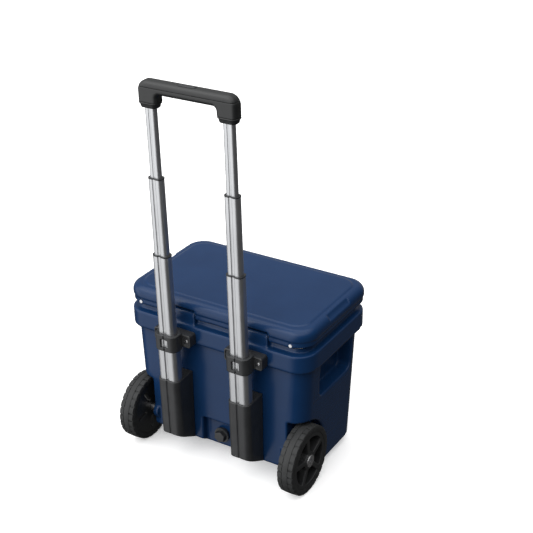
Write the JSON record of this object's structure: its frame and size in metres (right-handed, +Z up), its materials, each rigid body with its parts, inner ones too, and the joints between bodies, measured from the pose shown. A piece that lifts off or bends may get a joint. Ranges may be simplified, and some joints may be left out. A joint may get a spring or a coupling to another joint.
{
  "type": "wheeled hard cooler",
  "caption": "Rotomoulded hard cooler with a hinged insulated lid, rubber latches, drain plug, treaded wheels and a telescoping pull handle with a push-button grip.",
  "frame": {"origin": "on the ground, under the middle of the bounding box, with the handle extended", "axes": "+X to the right for a person facing the handle side, +Y from the handle side to the latch side, +Z up"},
  "size_m": [0.564, 0.4326, 1.0991],
  "materials": {
    "shell": "fine moulded texture, navy",
    "liner": "smooth, pale grey",
    "foam": "rigid foam",
    "black_plastic": "satin black",
    "rim": "satin black",
    "tyre": "matt rubber",
    "tube": "satin anodised",
    "steel": "bright",
    "rubber": "matt"
  },
  "bodies": {
    "tub": {"body_shell": "shell", "body_liner": "liner", "body_foam": "foam", "drain_bushing": "black_plastic", "foot_left": "rubber", "foot_right": "rubber", "foot_screws": "steel", "hinge_rod_left": "steel", "hinge_rod_right": "steel", "latch_keeper_left": "steel", "latch_keeper_right": "steel", "socket_left": "black_plastic", "socket_right": "black_plastic", "clamp_left": "black_plastic", "clamp_right": "black_plastic", "clamp_screws": "steel", "outer_tube_left": "tube", "outer_tube_right": "tube", "axle_bolt_left": "steel", "axle_bolt_right": "steel"},
    "lid": {"lid_shell": "shell", "lid_liner": "liner", "lid_foam": "foam", "lid_gasket": "rubber", "hinge_screws": "steel", "latch_pins": "steel"},
    "latch_l": {"latch_left": "rubber"},
    "latch_r": {"latch_right": "rubber"},
    "drain_stopper": {"drain_plug": "black_plastic", "drain_seal": "rubber"},
    "wheel_l": {"wheel_left": "rim", "tyre_left": "tyre", "wheel_bushing_left": "black_plastic"},
    "wheel_r": {"wheel_right": "rim", "tyre_right": "tyre", "wheel_bushing_right": "black_plastic"},
    "stage_two": {"stage2_tube_left": "tube", "stage2_tube_right": "tube", "stage2_collars": "black_plastic", "stage2_glides": "black_plastic"},
    "stage_three": {"stage3_tube_left": "tube", "stage3_tube_right": "tube", "stage3_collars": "black_plastic", "stage3_glides": "black_plastic"},
    "handle": {"stage4_tube_left": "tube", "stage4_tube_right": "tube", "stage4_glides": "black_plastic", "push_rods": "steel", "grip_upper": "black_plastic", "grip_lower": "black_plastic", "grip_cuffs": "black_plastic", "grip_screws": "steel", "button_spring": "steel"},
    "button": {"release_button": "black_plastic"}
  },
  "joints": [
    {"name": "lid_hinge", "type": "hinge", "parent": "tub", "child": "lid", "pos_m": [0, -0.11979, 0.444], "axis": [1, 0, 0], "range_deg": [0, 90]},
    {"name": "latch_left_hinge", "type": "hinge", "parent": "lid", "child": "latch_l", "pos_m": [-0.15, 0.20871, 0.454], "axis": [1, 0, 0], "range_deg": [0, 100]},
    {"name": "latch_right_hinge", "type": "hinge", "parent": "lid", "child": "latch_r", "pos_m": [0.15, 0.20871, 0.454], "axis": [1, 0, 0], "range_deg": [0, 100]},
    {"name": "drain_plug_out", "type": "slide", "parent": "tub", "child": "drain_stopper", "axis": [0, -1, 0], "range_m": [0, 0.03]},
    {"name": "wheel_left_spin", "type": "hinge", "parent": "tub", "child": "wheel_l", "pos_m": [-0.254, -0.10849, 0.0965], "axis": [1, 0, 0], "continuous": true},
    {"name": "wheel_right_spin", "type": "hinge", "parent": "tub", "child": "wheel_r", "pos_m": [0.254, -0.10849, 0.0965], "axis": [1, 0, 0], "continuous": true},
    {"name": "stage_two_slide", "type": "slide", "parent": "tub", "child": "stage_two", "axis": [0, -0.0277, 0.9996], "range_m": [-0.225, 0]},
    {"name": "stage_three_slide", "type": "slide", "parent": "stage_two", "child": "stage_three", "axis": [0, -0.0277, 0.9996], "range_m": [-0.206, 0]},
    {"name": "handle_slide", "type": "slide", "parent": "stage_three", "child": "handle", "axis": [0, -0.0277, 0.9996], "range_m": [-0.179, 0]},
    {"name": "button_press", "type": "slide", "parent": "handle", "child": "button", "axis": [0, 0.0277, -0.9996], "range_m": [0, 0.004], "stiffness_N_per_m": 800, "springref_m": -0.003, "deforming": ["button_spring"]}
  ]
}
